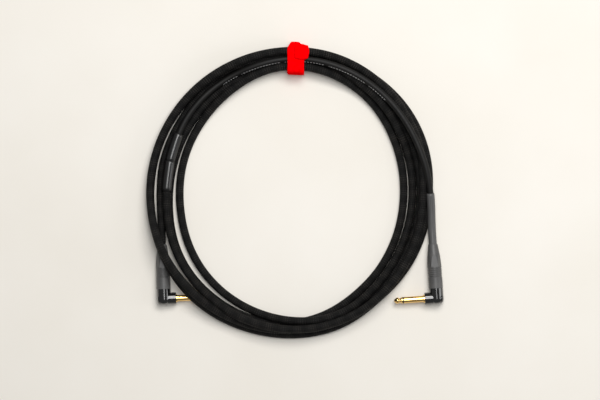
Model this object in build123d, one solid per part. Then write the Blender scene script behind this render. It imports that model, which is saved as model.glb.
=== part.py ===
from build123d import *
import os
from math import cos, radians, sin, tan

# An instrument cable with two right-angle 6.35 mm plugs, coiled by hand, tied at the
# top and lying on a flat surface. Millimetres, +Z up, the surface at z = 0.
# The coil's own centre is COIL_CENTRE; polar places are (angle, radius) about it,
# anticlockwise from +X.

# ---------------------------------------------------------------- cable
JACKET_D = 6.3            # smooth jacket
BRAID_D = 7.8             # jacket with its braided textile sleeve
JACKET_R = JACKET_D / 2
BRAID_R = BRAID_D / 2
COIL_CENTRE = Vector(-8.7, -19.2, 0)
COIL_STEP = 10            # degrees between the sections of the coil's solid
TOP_CHAMFER = 3.0         # worn-round upper edges of the coil's solid
RUN_SHARE = 0.45          # share of the shorter run that a corner's arc takes up

# ---------------------------------------------------------------- splice
SPLICE_D = 10.0
SPLICE = (152.0, 165.0, 179.0)   # start, the line between its sections, and end

# ---------------------------------------------------------------- tie
TIE_WIDTH = 17.0
TIE_LAYER = 1.0           # thickness of one layer of the strap
TIE_LAYERS = 2
TIE_ANGLE = 87.6          # where it holds the coil
TIE_SLACK = 2.0           # between the bundle and the strap, at its inner and outer side
TIE_CORNER = 5.0
TIE_TAIL_WIDTH = 14.0     # the strap's free end, pressed down askew
TIE_TAIL_LENGTH = 11.0
TIE_TAIL_SHIFT = 5.4

# ---------------------------------------------------------------- plugs
PLUG_HEIGHT = 7.1         # height of the cable's axis through a plug
PLUG_A_AT = Vector(-126.6, -105.3, 0)
PLUG_B_AT = Vector(145.2, -104.6, 0)
PLUG_A_TURN = 2.0
PLUG_B_TURN = 4.0
PLUG_A_ROLL = 4.5         # the pin of plug A leans down towards the surface

BODY_R = 7.0              # elbow and boot
FINGER_R = 6.05           # the arm of the elbow that holds the pin
FINGER_REACH = 12.0       # from the cable's axis to the arm's face
ELBOW_BOTTOM = 6.0        # just inside the level barrel
ELBOW_TOP = 9.6
ELBOW_ROUND = 5.2         # lower edge of the upright barrel
HEEL_REACH = 6.8          # where the level barrel ends, behind the cable's axis
HEEL_ROUND = 3.8
ARM_EDGE = 0.5
CAVITY_R = 4.6
CAVITY_FLOOR = 3.6
STUB_R = 5.3              # threaded neck that the boot screws onto
STUB_LENGTH = 8.0
THREAD_GAP = 0.3

PIN_R = 3.175             # 6.35 mm plug
PIN_LENGTH = 30.6         # from the elbow's face to the tip
TIP_LENGTH = 8.6
RING_WIDTH = 1.0
COLLAR_R = 4.0
COLLAR_WIDTH = 1.2
SEAT_R = 3.6              # the part of the pin's sleeve inside the arm
CRIMP_R = 4.1
CRIMP_WIDTH = 0.8
CRIMP_ROOM = 0.1          # around the crimped rim
SEAT_END = 5.0            # how far from the cable's axis the seat ends
INSULATOR_R = 2.3
INSULATOR_FLANGE_R = 3.4
ROD_R = 1.2
INSULATOR_FLANGE = 1.2
GROUND_LUG_X = -SEAT_END + CRIMP_WIDTH
TIP_LUG_X = GROUND_LUG_X + INSULATOR_FLANGE
LUG_THICKNESS = 0.6
LUG_TAB = 2.2             # width of the tip lug's tab
TIP_TAB_END = 7.0         # how far the tabs reach along the cable
GROUND_TAB = 3.5
GROUND_TAB_END = 9.0
TIP_LUG_R = 2.4
RIVET_R = ROD_R + 0.4     # the rod's end, riveted over the tip's lug
RIVET_HEIGHT = 0.6

BOOT_GAP = 0.1            # between the boot's skirt and the elbow's shoulder
BOOT_PLAIN = 11.0         # smooth skirt
RIB_LENGTH = 10.0
RIB_COUNT = 5
RIB_DEPTH = 0.4
FACET_LENGTH = 11.0
FACET_COUNT = 6
FACET_TOP_R = 6.35
FACET_R = 6.05            # from the cable's axis to each flat
FACET_RISE = 4.0          # how far the flats run on into the neck's taper
NECK_LENGTH = 12.0
RUNNING_GAP = 0.08
CHUCK_R = 4.85
CHUCK_NOSE_R = 4.0
CHUCK_NOSE = 4.5
CHUCK_LENGTH = 19.5
CHUCK_CLEAR = 1.4         # between the elbow's neck and the chuck's shoulder
CHUCK_SLOTS = 4
CHUCK_SLOT = 1.0
CHUCK_SLIT_SHARE = 0.7
CHUCK_SEAT_GAP = 0.6      # from the elbow's neck to the wide part of the boot's bore
CHUCK_STOP_GAP = 0.1      # above the chuck
STUB_END = ELBOW_TOP + STUB_LENGTH
CHUCK_START = STUB_END + CHUCK_CLEAR - CHUCK_NOSE
CHUCK_END = CHUCK_START + CHUCK_LENGTH
JACKET_GAP = 0.05         # the chuck slides on the jacket
BOOT_TRAVEL = 7.0         # how far the boot unscrews
BOOT_ROOM = 0.6           # left round plug A's boot in the coil

SLEEVE_R = 4.0            # heat-shrink sleeve on the jacket
SLEEVE_GAP = 0.2          # around it in the boot's neck
NECK_TOP_R = SLEEVE_R + SLEEVE_GAP + 0.5
SLEEVE_START = 42.0       # from the pin's axis, along the cable
SLEEVE_A_END = 55.2       # plug A's sleeve is short, and the braid starts at its end
JACKET_START = 11.0
WIRE_R = 1.0
WIRE_Z = -1.5             # how far below the pin's axis the core is soldered
WIRE_END = 4.6            # where both wires end, along the cable
WIRE_GAP = 0.05
PIGTAIL_R = 0.6
PIGTAIL_Z = 0.9
SOLDER_Y = 5.0
SOLDER_HEIGHT = 1.6
SOLDER_CHAMFER = 0.4
TIP_SOLDER_R = 1.5
GROUND_SOLDER_R = 1.0

# ---------------------------------------------------------------- route
# The cable runs from plug B about five and a half times round the coil's centre to
# plug A. Each row of
# a turn is (angle, radius, height of the cable's axis); the turns follow on from each
# other, and coil_point works out the points between the rows.
TURNS = [
    [  # from plug B over the outer turns, through the splice, then on top
        (0, 139.4, 12.0), (10, 136.6, 16.9), (20, 134.6, 17.1), (33, 134.0, 16.7),
        (45, 134.0, 15.7), (60, 134.0, 17.0), (75, 133.9, 16.8), (84, 133.7, 14.2),
        (91, 133.5, 14.0), (98, 132.1, 16.5), (106, 131.0, 15.2), (114, 130.5, 10.0),
        (122, 129.9, 8.3), (132, 129.2, 9.8), (142, 128.2, 10.6), (152, 126.2, 11.4),
        (165, 123.9, 12.3), (179, 123.7, 12.4), (190, 125.0, 11.7), (200, 127.0, 11.8),
        (210, 128.7, 11.8), (220, 130.3, 11.8), (229, 131.2, 11.9), (236, 131.7, 14.4),
        (243, 132.8, 16.9), (250, 133.7, 17.5), (260, 134.5, 17.9), (270, 135.5, 17.8),
        (280, 136.2, 16.8), (288, 136.3, 15.7), (295, 136.3, 15.3), (302, 136.1, 17.1),
        (310, 135.3, 18.2), (320, 134.4, 16.2), (330, 133.3, 13.8), (340, 132.5, 11.6),
        (350, 131.8, 11.3),
    ],
    [  # out under the first turn to the outside, over plug A, then down inside
        (0, 131.0, 11.4), (10, 133.7, 10.8), (20, 136.4, 10.5), (33, 138.0, 10.8),
        (45, 140.0, 11.6), (60, 141.5, 11.8), (75, 142.0, 12.2), (84, 141.6, 13.6),
        (91, 141.3, 14.2), (98, 140.9, 17.0), (108, 140.4, 19.0), (120, 140.0, 19.0),
        (130, 140.0, 17.2), (138, 140.0, 13.4), (146, 140.0, 11.8), (160, 140.0, 11.8),
        (175, 140.2, 12.0), (185, 140.1, 13.8), (195, 140.0, 20.2), (203, 139.7, 24.9),
        (208, 139.4, 25.5), (213, 139.1, 23.2), (219, 138.8, 20.2), (225, 138.6, 18.6),
        (230, 138.6, 17.8), (236, 138.5, 15.0), (242, 138.1, 12.0), (250, 137.9, 10.8),
        (260, 137.4, 10.7), (270, 136.2, 10.0), (280, 134.7, 8.2), (288, 133.4, 4.4),
        (296, 132.5, 3.9), (310, 130.9, 3.9), (325, 129.8, 3.9), (345, 129.2, 3.9),
    ],
    [  # on the surface, in the middle of the coil, then to the inside
        (0, 129.0, 3.9), (20, 130.3, 3.9), (33, 130.2, 3.9), (45, 130.6, 3.9),
        (60, 131.5, 3.9), (67, 129.9, 3.9), (75, 127.4, 4.4), (84, 126.5, 5.9),
        (91, 126.3, 5.9), (98, 126.0, 4.6), (108, 125.3, 3.9), (120, 124.0, 3.9),
        (135, 122.6, 3.9), (150, 121.2, 3.9), (165, 120.5, 3.9), (180, 121.3, 3.9),
        (190, 123.0, 3.9), (200, 125.5, 3.9), (210, 127.8, 3.9), (220, 129.2, 3.9),
        (235, 130.3, 3.9), (250, 131.6, 3.9), (260, 131.4, 3.9), (270, 130.0, 3.9),
        (280, 128.0, 3.9), (288, 125.4, 3.9), (295, 122.8, 3.9), (302, 120.3, 3.9),
        (310, 118.3, 3.9), (320, 116.5, 3.9), (330, 114.6, 3.9), (345, 112.9, 3.9),
    ],
    [  # innermost, up over the turn before it at the tie and again near the bottom
        (0, 112.5, 3.9), (20, 114.5, 3.9), (33, 117.2, 3.9), (45, 120.5, 3.9),
        (60, 123.5, 6.0), (67, 124.6, 9.6), (75, 125.5, 11.8), (84, 126.2, 13.6),
        (91, 126.3, 13.7), (100, 124.8, 12.0), (110, 121.8, 11.0), (120, 118.5, 9.6),
        (130, 116.0, 7.4), (140, 114.0, 4.6), (150, 112.8, 3.9), (165, 111.6, 3.9),
        (180, 111.0, 3.9), (190, 111.5, 3.9), (200, 113.0, 3.9), (215, 116.0, 3.9),
        (230, 119.0, 3.9), (245, 122.0, 3.9), (252, 123.3, 4.8), (260, 125.0, 8.3),
        (270, 127.0, 11.2), (280, 128.9, 13.2), (288, 130.0, 11.3), (295, 129.5, 11.1),
        (302, 128.2, 10.8), (310, 126.0, 10.2), (320, 124.3, 9.0), (330, 122.5, 7.3),
        (340, 121.5, 5.1), (350, 121.1, 3.9),
    ],
    [  # crosses to the outside below the tie, then under the second turn
        (0, 121.0, 3.9), (12, 122.0, 3.9), (20, 122.6, 4.4), (27, 123.6, 7.6),
        (33, 125.0, 10.1), (45, 127.3, 11.3), (60, 129.5, 11.5), (67, 131.8, 11.3),
        (75, 133.4, 9.8), (84, 133.9, 6.6), (91, 134.1, 7.0), (98, 135.4, 10.0),
        (104, 136.6, 11.4), (112, 137.7, 11.8), (120, 138.4, 11.4), (130, 139.0, 9.6),
        (138, 139.6, 5.8), (146, 139.9, 4.0), (160, 140.0, 3.9), (174, 140.1, 3.9),
        (185, 140.2, 6.2), (195, 140.4, 12.6), (203, 140.8, 17.3), (208, 141.0, 17.9),
        (213, 141.7, 15.8), (219, 142.2, 13.1), (225, 142.4, 11.9), (230, 142.5, 11.1),
        (236, 142.4, 8.2), (242, 142.2, 5.2), (250, 141.7, 3.9), (260, 141.4, 3.9),
        (275, 141.3, 3.9), (284, 141.1, 4.3), (290, 140.5, 6.0), (296, 139.2, 8.0),
        (303, 137.2, 9.5), (310, 135.8, 10.5), (320, 136.4, 8.6), (330, 136.8, 6.7),
        (340, 137.0, 4.4), (350, 137.2, 3.9),
    ],
    [  # outermost on the surface, inwards past the tie, up to plug A's lead
        (0, 137.5, 3.9), (10, 139.5, 3.9), (20, 141.0, 3.9), (33, 142.0, 3.9),
        (45, 142.0, 3.9), (60, 140.9, 3.9), (75, 141.4, 4.4), (84, 141.7, 5.9),
        (91, 141.7, 5.9), (98, 140.4, 4.4), (104, 139.0, 3.9), (112, 137.4, 3.9),
        (120, 136.0, 3.9), (130, 133.5, 3.9), (140, 131.9, 3.9), (150, 131.1, 3.9),
        (165, 131.0, 3.9), (172, 131.0, 4.2),
    ],
]
COIL_START = 10.0                   # where plug B's lead joins, in the first turn
COIL_END = 5 * 360 + 170.0          # where plug A's lead joins, in the last turn
LEAD_A_BEND_AT = 78.0               # along the cable from the pin's axis
LEAD_B_BEND_AT = 72.0
LEAD_A_RISE = (-130.5, -4.0, 4.9)   # next corner, from the coil's centre
LEAD_B_RISE = (139.4, -3.0, 12.2)
SLEEVE_END_Y = -1.0                 # upper end of plug B's heat-shrink sleeve


def stations():
    """Every row of TURNS as (angle counted over the turns, radius, height)."""
    rows = []
    for number, turn in enumerate(TURNS):
        for angle, radius, height in turn:
            rows.append((angle + 360 * number, radius, height))
    return rows


STATIONS = stations()


def coil_point(angle):
    """Radius and height of the cable's axis at an angle, smoothly between the rows."""
    last = len(STATIONS) - 2
    i = 0
    while i < last and STATIONS[i + 1][0] < angle:
        i += 1
    before = STATIONS[max(i - 1, 0)]
    start, end = STATIONS[i], STATIONS[i + 1]
    after = STATIONS[min(i + 2, last + 1)]
    width = end[0] - start[0]
    t = min(max((angle - start[0]) / width, 0.0), 1.0)
    found = []
    for k in (1, 2):
        slope_0 = (end[k] - before[k]) / (end[0] - before[0]) * width
        slope_1 = (after[k] - start[k]) / (after[0] - start[0]) * width
        found.append(
            (2 * t**3 - 3 * t**2 + 1) * start[k]
            + (t**3 - 2 * t**2 + t) * slope_0
            + (3 * t**2 - 2 * t**3) * end[k]
            + (t**3 - t**2) * slope_1
        )
    return found[0], found[1]


def polar(angle, radius, height):
    """A point given about the coil's centre."""
    a = radians(angle)
    return COIL_CENTRE + Vector(radius * cos(a), radius * sin(a), height)


def route_point(angle):
    """A point of the cable's axis in the coil."""
    radius, height = coil_point(angle)
    return polar(angle % 360, radius, height)


# ---------------------------------------------------------------- small tools
def turned(points, axis):
    """A solid turned about an axis through the plug's origin."""
    return revolve(make_face(Polyline(*points, close=True)), axis)


def rod(radius, start, end):
    """A round bar between two points."""
    start, end = Vector(*start), Vector(*end)
    plane = Plane(origin=start, z_dir=end - start)
    return extrude(plane * Circle(radius), (end - start).length)


def bar(low, high):
    """A block between two corners."""
    size = [b - a for a, b in zip(low, high)]
    middle = [(a + b) / 2 for a, b in zip(low, high)]
    return Pos(*middle) * Box(*size)


def corner_arc(before, corner, after):
    """Radius of the arc at a corner of a cable's route."""
    into, out = corner - before, after - corner
    half_turn = radians(into.get_angle(out)) / 2
    return RUN_SHARE * min(into.length, out.length) / tan(half_turn)


def cable_path(points, name):
    """Straight runs joined by tangent arcs; prints the radii."""
    radii = [corner_arc(*points[i - 1:i + 2]) for i in range(1, len(points) - 1)]
    print(name, "radii", [round(r) for r in radii])
    return FilletPolyline(*points, radius=radii)


def tube(path, radius, bore=0.0):
    """A solid or hollow round section swept along a path."""
    section = Plane(origin=path @ 0, z_dir=path % 0) * Circle(radius)
    solid = sweep(section, path)
    if bore:
        inner = Plane(origin=path @ 0, z_dir=path % 0) * Circle(bore)
        solid = solid - sweep(inner, path)
    return solid


# ---------------------------------------------------------------- plug
# A plug is made with its cable along +Y and its pin along -X, and then placed.
def plug_place(at, turn, spin):
    """Where a plug lies; spin turns it about the cable."""
    middle = COIL_CENTRE + at
    return Pos(middle.X, middle.Y, PLUG_HEIGHT) * Rot(0, 0, turn) * Rot(0, spin, 0)


def elbow_housing():
    """The elbow: an upright barrel with a threaded neck, and a level one for the pin."""
    body = turned([(0, -ELBOW_BOTTOM), (BODY_R, -ELBOW_BOTTOM), (BODY_R, ELBOW_TOP),
                   (STUB_R, ELBOW_TOP), (STUB_R, STUB_END), (0, STUB_END)], Axis.Y)
    body = fillet(body.edges().sort_by(Axis.Y)[0], ELBOW_ROUND)
    arm = rod(FINGER_R, (HEEL_REACH, 0, 0), (-FINGER_REACH, 0, 0))
    arm = fillet(arm.edges().sort_by(Axis.X)[0], ARM_EDGE)
    arm = fillet(arm.edges().sort_by(Axis.X)[-1], HEEL_ROUND)
    cavity = rod(CAVITY_R, (0, -CAVITY_FLOOR, 0), (0, STUB_END, 0))
    seat = rod(SEAT_R, (-FINGER_REACH, 0, 0), (-SEAT_END, 0, 0))
    pocket = rod(CRIMP_R + CRIMP_ROOM, (-SEAT_END, 0, 0), (0, 0, 0))
    return body + arm - cavity - seat - pocket


def sleeve_contact():
    """The pin's sleeve: collar and barrel outside, seat and crimped rim inside."""
    barrel_end = -(FINGER_REACH + PIN_LENGTH - TIP_LENGTH - RING_WIDTH)
    face = -FINGER_REACH
    rim = -SEAT_END
    return turned([(barrel_end, INSULATOR_R), (barrel_end, PIN_R - 0.2),
                   (barrel_end + 0.2, PIN_R), (face - COLLAR_WIDTH, PIN_R),
                   (face - COLLAR_WIDTH, COLLAR_R), (face, COLLAR_R), (face, SEAT_R),
                   (rim, SEAT_R), (rim, CRIMP_R), (rim + CRIMP_WIDTH, CRIMP_R),
                   (rim + CRIMP_WIDTH, INSULATOR_R)], Axis.X)


def inner_insulator():
    barrel_end = -(FINGER_REACH + PIN_LENGTH - TIP_LENGTH - RING_WIDTH)
    return turned([(barrel_end, ROD_R), (barrel_end, INSULATOR_R),
                   (GROUND_LUG_X, INSULATOR_R), (GROUND_LUG_X, INSULATOR_FLANGE_R),
                   (TIP_LUG_X, INSULATOR_FLANGE_R), (TIP_LUG_X, ROD_R)], Axis.X)


def tip_ring():
    """The black ring between the pin's sleeve and its tip."""
    outer = -(FINGER_REACH + PIN_LENGTH - TIP_LENGTH)
    return turned([(outer, ROD_R), (outer, PIN_R), (outer + RING_WIDTH, PIN_R),
                   (outer + RING_WIDTH, ROD_R)], Axis.X)


def tip_contact():
    """The tip with its waist and shoulder, and the rod that carries its signal."""
    base = -(FINGER_REACH + PIN_LENGTH - TIP_LENGTH)
    nose = base - TIP_LENGTH
    rod_end = TIP_LUG_X + LUG_THICKNESS
    tail = Polyline((base, PIN_R), (base, ROD_R), (rod_end, ROD_R),
                    (rod_end, RIVET_R), (rod_end + RIVET_HEIGHT, RIVET_R),
                    (rod_end + RIVET_HEIGHT, 0), (nose, 0))
    ball = Spline((nose, 0), (nose + 0.5, 1.3), (nose + 2.3, 2.75),
                  (nose + 3.5, PIN_R - 0.05), tangents=[(0, 1), (1, 0)])
    waist = Spline((nose + 3.5, PIN_R - 0.05), (nose + 4.6, 2.75), (nose + 5.8, 2.2),
                   (nose + 7.0, PIN_R - 0.5), tangents=[(1, 0), (1, 1.4)])
    shoulder = Polyline((nose + 7.0, PIN_R - 0.5), (nose + 7.5, PIN_R), (base, PIN_R))
    return revolve(make_face(tail + ball + waist + shoulder), Axis.X)


def tip_lug():
    """Solder lug on the inner end of the tip's rod."""
    back = TIP_LUG_X + LUG_THICKNESS
    plate = rod(TIP_LUG_R, (TIP_LUG_X, 0, 0), (back, 0, 0))
    tab = bar((TIP_LUG_X, 0, WIRE_Z - LUG_TAB / 2), (back, TIP_TAB_END, WIRE_Z + LUG_TAB / 2))
    return plate + tab - rod(ROD_R, (TIP_LUG_X - 1, 0, 0), (back + 1, 0, 0))


def ground_lug():
    """Solder lug on the crimped rim of the pin's sleeve."""
    back = GROUND_LUG_X + LUG_THICKNESS
    plate = rod(CRIMP_R, (GROUND_LUG_X, 0, 0), (back, 0, 0))
    tab = bar((GROUND_LUG_X, 0, -GROUND_TAB / 2), (back, GROUND_TAB_END, GROUND_TAB / 2))
    hole = rod(INSULATOR_FLANGE_R + 0.05, (GROUND_LUG_X - 1, 0, 0), (back + 1, 0, 0))
    return plate + tab - hole


def core_wire():
    """The insulated core, from the jacket's end to the tip's lug."""
    x = TIP_LUG_X + LUG_THICKNESS + WIRE_R + WIRE_GAP
    return rod(WIRE_R, (x, JACKET_START, WIRE_Z), (x, WIRE_END, WIRE_Z))


def shield_pigtail():
    """The twisted screen, from the jacket's end to the ground lug."""
    x = GROUND_LUG_X + LUG_THICKNESS + PIGTAIL_R + WIRE_GAP
    path = FilletPolyline((x + 1.0, JACKET_START, PIGTAIL_Z), (x + 1.0, 10.0, PIGTAIL_Z),
                          (x, 7.6, PIGTAIL_Z), (x, WIRE_END, PIGTAIL_Z), radius=1.2)
    return tube(path, PIGTAIL_R)


def solder_bead(face, z, radius, lug, wire):
    """A round-edged bead that joins the end of a wire to the face of its lug."""
    bead = rod(radius, (face, SOLDER_Y, z), (face + SOLDER_HEIGHT, SOLDER_Y, z))
    bead = chamfer(bead.edges().sort_by(Axis.X)[-1], SOLDER_CHAMFER)
    return largest(bead - lug - wire)


def solder_joints():
    """One bead on each lug, where its wire ends."""
    tip_face = TIP_LUG_X + LUG_THICKNESS
    ground_face = GROUND_LUG_X + LUG_THICKNESS
    tip_bead = solder_bead(tip_face, WIRE_Z, TIP_SOLDER_R, tip_lug(), core_wire())
    wires = shield_pigtail() + tip_lug()
    ground_bead = solder_bead(ground_face, PIGTAIL_Z, GROUND_SOLDER_R, ground_lug(), wires)
    return Compound(children=[tip_bead, ground_bead])


def largest(shape):
    return shape.solids().sort_by(SortBy.VOLUME)[-1]


def chuck():
    """Slotted collet that grips the jacket when the boot is screwed home."""
    bore = JACKET_R + JACKET_GAP
    body = turned([(bore, CHUCK_START), (CHUCK_NOSE_R - 0.5, CHUCK_START),
                   (CHUCK_NOSE_R, STUB_END + CHUCK_CLEAR),
                   (CHUCK_R, STUB_END + CHUCK_CLEAR), (CHUCK_R, CHUCK_END),
                   (bore, CHUCK_END)], Axis.Y)
    slit_end = CHUCK_START + CHUCK_SLIT_SHARE * CHUCK_LENGTH
    for i in range(CHUCK_SLOTS):
        slit = bar((bore - 1, CHUCK_START - 1, -CHUCK_SLOT / 2),
                   (CHUCK_R + 1, slit_end, CHUCK_SLOT / 2))
        body = body - Rot(0, 360 * i / CHUCK_SLOTS, 0) * slit
    return body


def boot_levels():
    """Where the boot's sections begin, along the cable."""
    skirt = ELBOW_TOP + BOOT_GAP
    ribs = skirt + BOOT_PLAIN
    facets = ribs + RIB_LENGTH
    neck = facets + FACET_LENGTH
    return skirt, ribs, facets, neck, neck + NECK_LENGTH


def boot():
    """Screw boot: plain skirt, ribs, wrench facets and a tapered neck."""
    skirt, ribs, facets, neck, top = boot_levels()
    chuck_seat = STUB_END + CHUCK_SEAT_GAP
    chuck_stop = CHUCK_END + CHUCK_STOP_GAP
    outline = [(STUB_R + THREAD_GAP, skirt), (BODY_R - 0.15, skirt),
               (BODY_R, skirt + 0.3), (BODY_R, ribs)]
    pitch = RIB_LENGTH / RIB_COUNT
    for i in range(RIB_COUNT):
        y = ribs + i * pitch
        outline += [(BODY_R - RIB_DEPTH, y + 0.25 * pitch),
                    (BODY_R - RIB_DEPTH, y + 0.5 * pitch),
                    (BODY_R, y + 0.75 * pitch), (BODY_R, y + pitch)]
    bore_neck = SLEEVE_R + SLEEVE_GAP
    outline += [(BODY_R, facets + 0.5), (FACET_TOP_R, neck), (NECK_TOP_R, top - 0.5),
                (NECK_TOP_R - 0.3, top), (bore_neck, top), (bore_neck, chuck_stop),
                (CHUCK_R + RUNNING_GAP, chuck_stop),
                (CHUCK_R + RUNNING_GAP, chuck_seat), (STUB_R + THREAD_GAP, chuck_seat)]
    body = turned(outline, Axis.Y)
    for i in range(FACET_COUNT):
        beyond = bar((FACET_R, facets + 0.7, -8), (FACET_R + 4, neck + FACET_RISE, 8))
        body = body - Rot(0, 360 * (i + 0.5) / FACET_COUNT, 0) * beyond
    return body


# ---------------------------------------------------------------- leads
def lead_b_points():
    """Plug B's lead, from inside the plug to where it joins the coil."""
    place = plug_place(PLUG_B_AT, PLUG_B_TURN, 0)
    inside = (place * Pos(0, JACKET_START, 0)).position
    bend = (place * Pos(0, LEAD_B_BEND_AT, 0)).position
    return [inside, bend, COIL_CENTRE + Vector(*LEAD_B_RISE), route_point(COIL_START)]


def lead_a_points():
    """Plug A's lead, from inside the plug to where it joins the coil."""
    place = plug_place(PLUG_A_AT, PLUG_A_TURN, 0)
    inside = (place * Pos(0, JACKET_START, 0)).position
    bend = (place * Pos(0, LEAD_A_BEND_AT, 0)).position
    return [inside, bend, COIL_CENTRE + Vector(*LEAD_A_RISE), route_point(COIL_END)]


def lead_b():
    return tube(cable_path(lead_b_points(), "lead_b"), JACKET_R)


def lead_a():
    """Plug A's lead: the jacket as far as its sleeve goes, then the braided rest."""
    inside, bend, rise, join = lead_a_points()
    braid_start = (plug_place(PLUG_A_AT, PLUG_A_TURN, 0) * Pos(0, SLEEVE_A_END, 0)).position
    path = cable_path([braid_start, bend, rise, join], "lead_a")
    return rod(JACKET_R, tuple(inside), tuple(braid_start)) + tube(path, BRAID_R)


def sleeve_a():
    """Short heat-shrink sleeve on plug A's lead, up to where the braid starts."""
    whole = rod(SLEEVE_R, (0, SLEEVE_START, 0), (0, SLEEVE_A_END, 0))
    whole -= rod(JACKET_R, (0, SLEEVE_START, 0), (0, SLEEVE_A_END, 0))
    return plug_place(PLUG_A_AT, PLUG_A_TURN, 0) * whole


def sleeve_b():
    """Heat-shrink sleeve on plug B's lead."""
    place = plug_place(PLUG_B_AT, PLUG_B_TURN, 0)
    whole = tube(cable_path(lead_b_points(), "sleeve_b"), SLEEVE_R, JACKET_R)
    low = place * bar((-20, -50, -20), (20, SLEEVE_START, 20))
    return whole - low - above(SLEEVE_END_Y)


def above(y):
    """Everything beyond a height up the coil, for trimming the sleeve."""
    start = COIL_CENTRE.Y + y
    return bar((-200, start, -50), (200, start + 200, 80))


# ---------------------------------------------------------------- coil
def strands(angle):
    """Radius and height of every turn that passes an angle."""
    found = []
    for turn in range(len(TURNS)):
        along = angle + 360 * turn
        if COIL_START <= along <= COIL_END:
            found.append(coil_point(along))
    return found


def coil_section(angle):
    """Outline of the bundle where a half-plane at an angle cuts it."""
    near = [s for a in (-5, 0, 5) for s in strands((angle + a) % 360)]
    inner = min(r for r, z in near) - BRAID_R
    outer = max(r for r, z in near) + BRAID_R
    top = max(z for r, z in near) + BRAID_R
    corner = TOP_CHAMFER
    outline = [(inner, 0), (outer, 0), (outer, top - corner), (outer - corner, top),
               (inner + corner, top), (inner, top - corner)]
    return Wire.make_polygon([polar(angle, r, z) for r, z in outline], close=True)


def coil_body():
    """The outer shape of the whole coil, as two lofted halves."""
    halves = []
    for first in (0, 180):
        angles = range(first, first + 181, COIL_STEP)
        halves.append(Solid.make_loft([coil_section(a) for a in angles], ruled=True))
    return Part() + halves[0] + halves[1]


def splice_tube():
    """Both heat-shrink sections of the splice in one, bent along the cable."""
    points = [route_point(a) for a in SPLICE]
    return tube(ThreePointArc(*points), SPLICE_D / 2, BRAID_R)


def splice_section(side):
    """The splice before (-1) or after (1) the line between its two sections."""
    middle = route_point(SPLICE[1])
    along = (route_point(SPLICE[1] + 1) - middle).normalized()
    half = extrude(Plane(origin=middle, z_dir=along * side) * Rectangle(60, 60), 60)
    return splice_tube() & half


def tie_frame():
    """The strap's own frame: X across the bundle, outwards, and Y up."""
    centre = polar(TIE_ANGLE, 0, 0)
    outwards = polar(TIE_ANGLE, 1, 0) - centre
    along = outwards.cross(Vector(0, 0, 1))
    return Plane(origin=centre, x_dir=outwards, z_dir=along)


def tie_opening():
    """The bundle's inner and outer radius and its bottom and top at the tie."""
    near = strands(TIE_ANGLE)
    inner = min(r for r, z in near) - BRAID_R - TIE_SLACK
    outer = max(r for r, z in near) + BRAID_R + TIE_SLACK
    top = max(z for r, z in near) + BRAID_R
    return inner, outer, TIE_LAYER * TIE_LAYERS, top + 0.2


def tie_ring(grow, corner):
    """A rounded block around the bundle at the tie, grown by a margin."""
    inner, outer, bottom, top = tie_opening()
    width, height = outer - inner + 2 * grow, top - bottom + 2 * grow
    outline = Pos((inner + outer) / 2, (bottom + top) / 2) * RectangleRounded(
        width, height, corner)
    return extrude(tie_frame() * outline, TIE_WIDTH / 2, both=True)


def tie_strap():
    """The hook-and-loop strap, wrapped round the bundle."""
    thick = TIE_LAYER * TIE_LAYERS
    return tie_ring(thick, TIE_CORNER) - tie_ring(0, TIE_CORNER - thick)


def tie_room():
    """What the tie takes away from the coil, so that it holds the bundle together."""
    around = extrude(tie_frame() * Rectangle(400, 100), TIE_WIDTH / 2, both=True)
    return around - tie_ring(0, TIE_CORNER - TIE_LAYER * TIE_LAYERS) - far_side()


def far_side():
    """The half of the coil across from the tie."""
    centre = tie_frame() * Pos(-500, 0, 0)
    return extrude(centre * Rectangle(1000, 1000), TIE_WIDTH, both=True)


def tie_tab():
    """The strap's free end, pressed on top of the wraps and a little askew."""
    inner, outer, bottom, top = tie_opening()
    low = top + TIE_LAYER * TIE_LAYERS
    outline = Pos((inner + outer + TIE_TAIL_LENGTH) / 2, low + TIE_LAYER / 2) * Rectangle(
        TIE_TAIL_LENGTH, TIE_LAYER)
    frame = tie_frame().offset(TIE_TAIL_SHIFT)
    return extrude(frame * outline, TIE_TAIL_WIDTH / 2, both=True)


def boot_room():
    """The space that plug A and its boot's travel take out of the coil."""
    place = plug_place(PLUG_A_AT, PLUG_A_TURN, 0)
    skirt, ribs, facets, neck, top = boot_levels()
    wide, narrow = BODY_R + BOOT_ROOM, FACET_TOP_R + BOOT_ROOM
    reach = BOOT_TRAVEL + 1.0
    lane = place * rod(wide, (0, -8, 0), (0, neck + reach, 0))
    lane += place * rod(narrow, (0, neck, 0), (0, top + reach, 0))
    lane += place * bar((-wide, -8, -PLUG_HEIGHT - 1), (wide, top + reach, 0))
    spun = plug_place(PLUG_A_AT, PLUG_A_TURN, 180 + PLUG_A_ROLL)
    pin_end = FINGER_REACH + PIN_LENGTH + 1.0
    lane += spun * rod(PIN_R + 0.5, (-FINGER_REACH, 0, 0), (-pin_end, 0, 0))
    lane += place * bar((0, -PIN_R - 0.5, -12), (pin_end, PIN_R + 0.5, 0))
    return lane


def coil(cuts):
    """The coil's closed shape, with room for everything that lies in it."""
    body = coil_body()
    for cut in cuts:
        body = body - cut
    return largest(body)


# ---------------------------------------------------------------- assembly
PLUG_PIECES = {
    "elbow_housing": elbow_housing,
    "pin_sleeve": sleeve_contact,
    "pin_tip": tip_contact,
    "tip_ring": tip_ring,
    "inner_insulator": inner_insulator,
    "tip_lug": tip_lug,
    "ground_lug": ground_lug,
    "chuck": chuck,
    "boot": boot,
    "core_wire": core_wire,
    "shield_pigtail": shield_pigtail,
    "solder_joints": solder_joints,
}


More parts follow.
